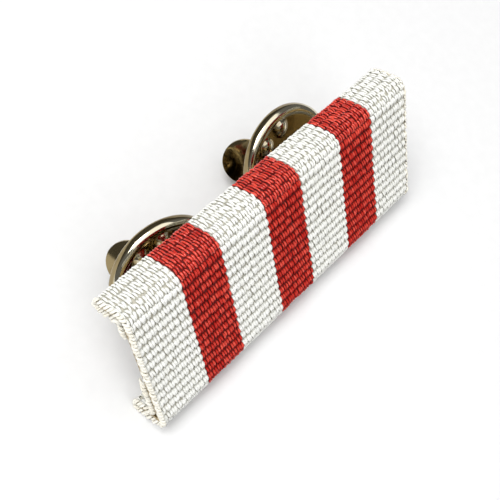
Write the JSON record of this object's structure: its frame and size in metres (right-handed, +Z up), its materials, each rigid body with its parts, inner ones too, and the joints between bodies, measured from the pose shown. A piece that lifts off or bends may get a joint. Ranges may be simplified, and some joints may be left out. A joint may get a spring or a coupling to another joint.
{
  "type": "ribbon bar",
  "caption": "Medal ribbon bar: a striped ribbed ribbon wrapped over a small bent brass bar, with a butterfly clutch on each pin post.",
  "frame": {"origin": "middle of the footprint, on the surface that the bar lies on", "axes": "+Z up; +X along the bar, to the right as the ribbon's face is seen; +Y from the ribbon's face towards the clutches"},
  "size_m": [0.032, 0.0137, 0.0123],
  "materials": {
    "ribbon": "ribbed warp-faced weave, white with red stripes",
    "bar_brass": "bright rolled brass sheet and turned pins",
    "cup_brass": "bright pressed pale brass",
    "wing_brass": "pale spring brass"
  },
  "bodies": {
    "bar": {"ribbon": "ribbon", "pin_bar": "bar_brass"},
    "clutch_left": {"cup_left": "cup_brass"},
    "clutch_right": {"cup_right": "cup_brass"},
    "wing_left_outer": {"wing_left_outer": "wing_brass"},
    "wing_left_inner": {"wing_left_inner": "wing_brass"},
    "wing_right_inner": {"wing_right_inner": "wing_brass"},
    "wing_right_outer": {"wing_right_outer": "wing_brass"}
  },
  "joints": [
    {"name": "clutch_left_slide", "type": "slide", "parent": "bar", "child": "clutch_left", "axis": [0, 0.8434, -0.5373], "range_m": [-0.001, 0.008]},
    {"name": "clutch_right_slide", "type": "slide", "parent": "bar", "child": "clutch_right", "axis": [0, 0.8434, -0.5373], "range_m": [-0.002, 0.008]},
    {"name": "wing_left_outer_pinch", "type": "hinge", "parent": "clutch_left", "child": "wing_left_outer", "pos_m": [-0.00962, 0.00264, 0.00493], "axis": [-0.464, -0.411, -0.7847], "range_deg": [0, 7], "stiffness_Nm_per_rad": 0.02},
    {"name": "wing_left_inner_pinch", "type": "hinge", "parent": "clutch_left", "child": "wing_left_inner", "pos_m": [-0.00635, 0.00105, 0.00383], "axis": [0.464, 0.411, 0.7847], "range_deg": [0, 7], "stiffness_Nm_per_rad": 0.02},
    {"name": "wing_right_inner_pinch", "type": "hinge", "parent": "clutch_right", "child": "wing_right_inner", "pos_m": [0.00598, 0.00301, 0.00448], "axis": [-0.3289, -0.6068, -0.7236], "range_deg": [0, 7], "stiffness_Nm_per_rad": 0.02},
    {"name": "wing_right_outer_pinch", "type": "hinge", "parent": "clutch_right", "child": "wing_right_outer", "pos_m": [0.00957, 0.00213, 0.00359], "axis": [0.3289, 0.6068, 0.7236], "range_deg": [0, 7], "stiffness_Nm_per_rad": 0.02}
  ]
}
